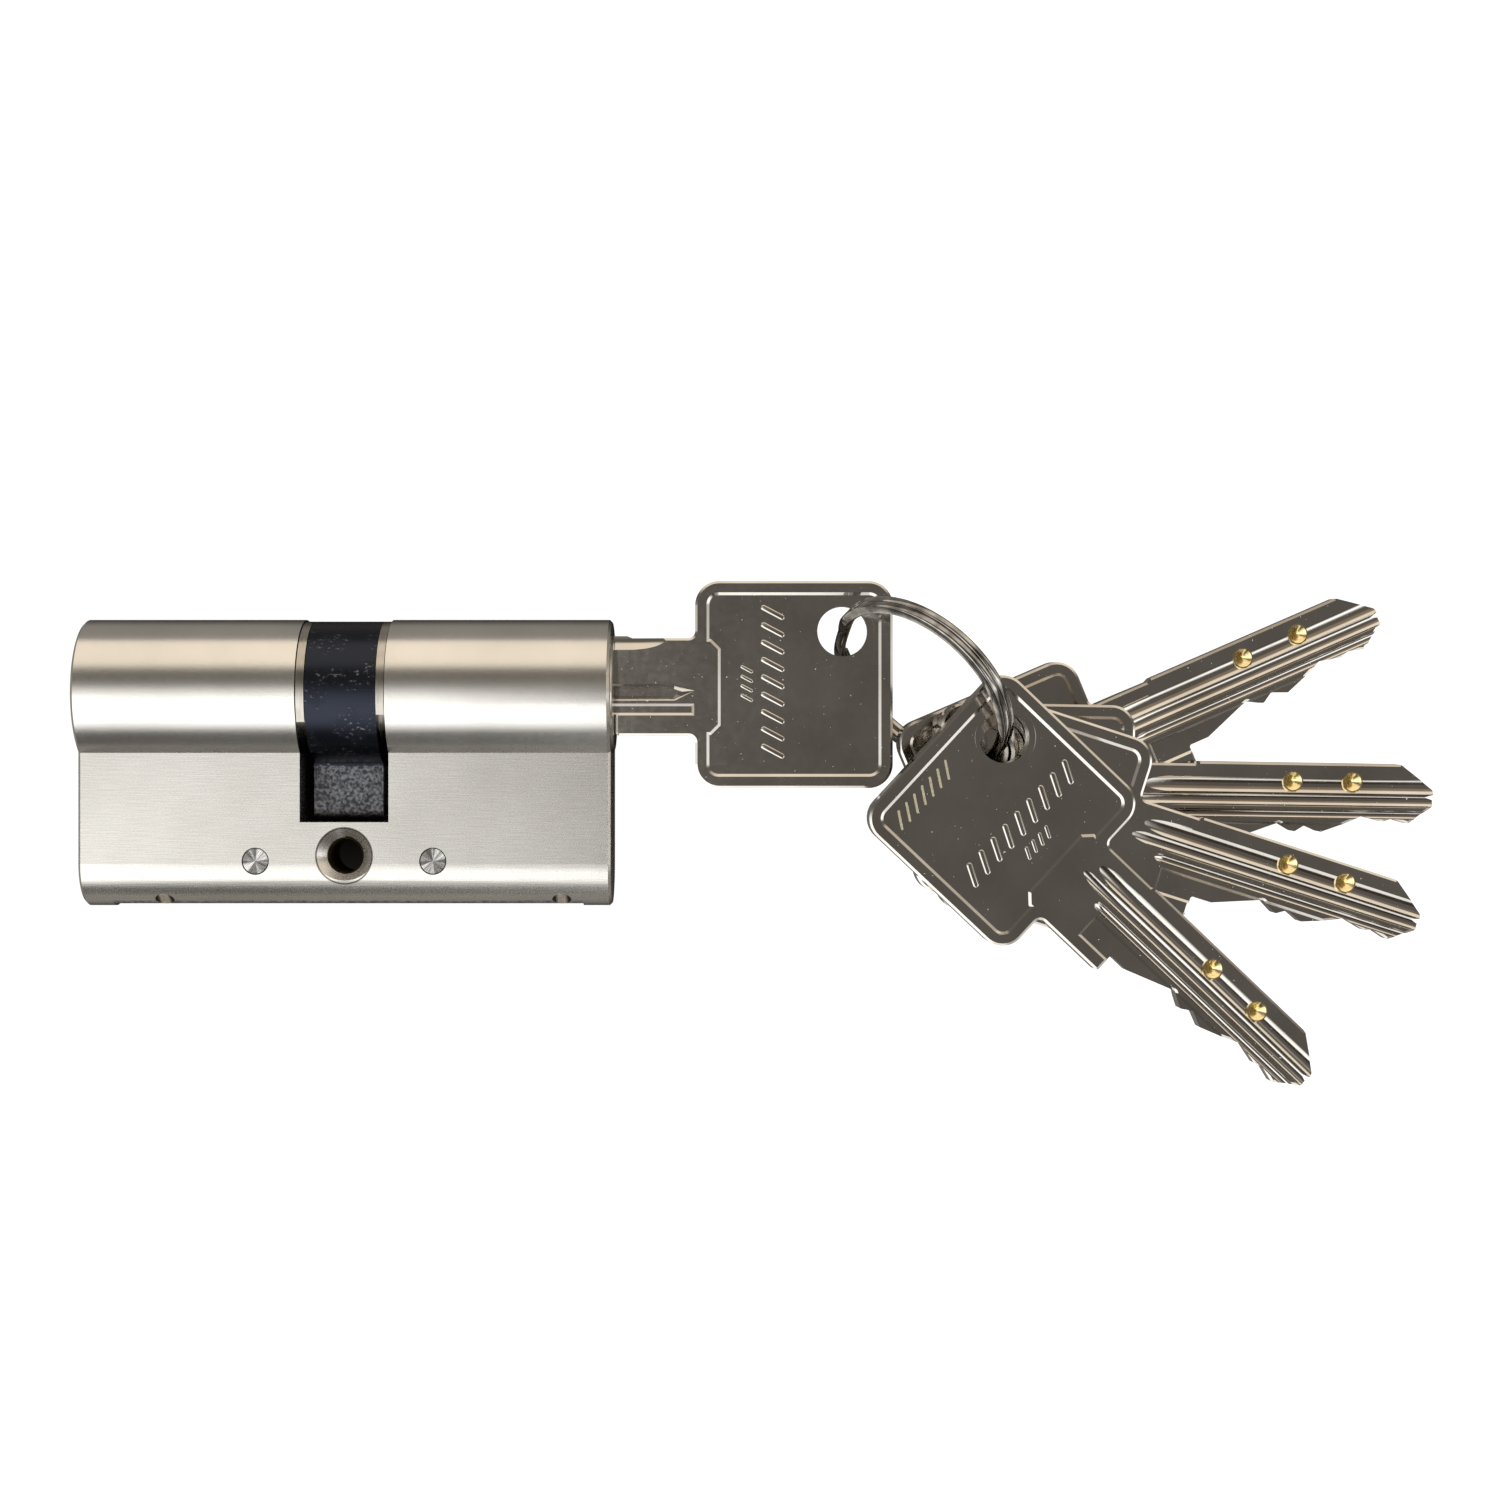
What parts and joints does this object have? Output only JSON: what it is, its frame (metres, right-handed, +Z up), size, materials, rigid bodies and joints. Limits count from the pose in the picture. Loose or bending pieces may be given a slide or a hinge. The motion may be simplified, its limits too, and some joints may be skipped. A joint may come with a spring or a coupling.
{
  "type": "double profile lock cylinder with keys",
  "caption": "Double-ended profile cylinder for a door deadbolt, with a turning cam in its middle slot, a key in one end and more keys on a split ring.",
  "frame": {"origin": "on the axis of the fixing-screw hole, half way through the flange", "axes": "+X along the lock axis towards the end that holds the key, +Y from the flange up to the barrel, +Z up from the table that the lock lies on, along the fixing-screw hole"},
  "size_m": [0.1571, 0.0583, 0.0219],
  "materials": {
    "satin_nickel": "satin nickel plate on brass, fine straight grain",
    "plug_nickel": "satin nickel plate on brass, turned end",
    "key_nickel": "polished nickel plate",
    "insert_brass": "bright turned brass",
    "pin_brass": "plain brass",
    "black_oxide_steel": "blue-black oxide on sintered steel",
    "bright_steel": "bright spring steel",
    "spring_steel": "spring steel wire",
    "ring_steel": "polished plated steel wire",
    "hard_steel": "hardened steel, turned ends"
  },
  "bodies": {
    "housing": {"cylinder_body": "satin_nickel", "reinforcing_bar": "hard_steel", "cross_pins": "hard_steel", "anti_drill_pins": "hard_steel", "outer_driver_pins": "pin_brass", "inner_driver_pins": "pin_brass", "outer_pin_springs": "spring_steel", "inner_pin_springs": "spring_steel"},
    "outer_plug_assembly": {"outer_plug": "plug_nickel", "outer_key_pins": "pin_brass", "outer_side_pins": "pin_brass", "outer_guard_pins": "hard_steel", "outer_c_clip": "bright_steel"},
    "inner_plug_assembly": {"inner_plug": "plug_nickel", "inner_key_pins": "pin_brass", "inner_side_pins": "pin_brass", "inner_guard_pins": "hard_steel", "inner_c_clip": "bright_steel"},
    "cam_assembly": {"cam": "black_oxide_steel", "outer_clutch": "hard_steel", "inner_clutch": "hard_steel"},
    "key_in_lock": {"key_1": "key_nickel", "key_1_inserts": "insert_brass"},
    "ring": {"split_ring": "ring_steel"},
    "loose_key_2": {"key_2": "key_nickel", "key_2_inserts": "insert_brass"},
    "loose_key_3": {"key_3": "key_nickel", "key_3_inserts": "insert_brass"},
    "loose_key_4": {"key_4": "key_nickel", "key_4_inserts": "insert_brass"},
    "loose_key_5": {"key_5": "key_nickel", "key_5_inserts": "insert_brass"}
  },
  "joints": [
    {"name": "outer_plug_turn", "type": "hinge", "parent": "housing", "child": "outer_plug_assembly", "pos_m": [0, 0.0186, 0], "axis": [1, 0, 0], "continuous": true},
    {"name": "inner_plug_turn", "type": "hinge", "parent": "housing", "child": "inner_plug_assembly", "pos_m": [0, 0.0186, 0], "axis": [1, 0, 0], "continuous": true},
    {"name": "cam_turn", "type": "hinge", "parent": "housing", "child": "cam_assembly", "pos_m": [0, 0.0186, 0], "axis": [1, 0, 0], "continuous": true},
    {"name": "key_slide", "type": "slide", "parent": "outer_plug_assembly", "child": "key_in_lock", "axis": [1, 0, 0], "range_m": [0, 0.038]},
    {"name": "ring_turn", "type": "hinge", "parent": "key_in_lock", "child": "ring", "pos_m": [0.06592, 0.01958, 0.00251], "axis": [-0.6034, -0.6248, 0.4955], "range_deg": [0, 20]},
    {"name": "key_2_fan", "type": "hinge", "parent": "ring", "child": "loose_key_2", "pos_m": [0.0749, 0.0135, 0.00495], "axis": [0.106, -0.0284, 0.994], "range_deg": [-25, 25]},
    {"name": "key_3_fan", "type": "hinge", "parent": "ring", "child": "loose_key_3", "pos_m": [0.0752, 0.0123, 0.0025], "axis": [0.106, -0.0284, 0.994], "range_deg": [-25, 25]},
    {"name": "key_4_fan", "type": "hinge", "parent": "ring", "child": "loose_key_4", "pos_m": [0.0738, 0.0117, 0.00005], "axis": [0.106, -0.0284, 0.994], "range_deg": [-25, 25]},
    {"name": "key_5_fan", "type": "hinge", "parent": "ring", "child": "loose_key_5", "pos_m": [0.07005, 0.0112, -0.0024], "axis": [0.106, -0.0284, 0.994], "range_deg": [-25, 25]}
  ],
  "couplings": [
    {"joint": "cam_turn", "follows": "outer_plug_turn", "ratio": 1}
  ]
}
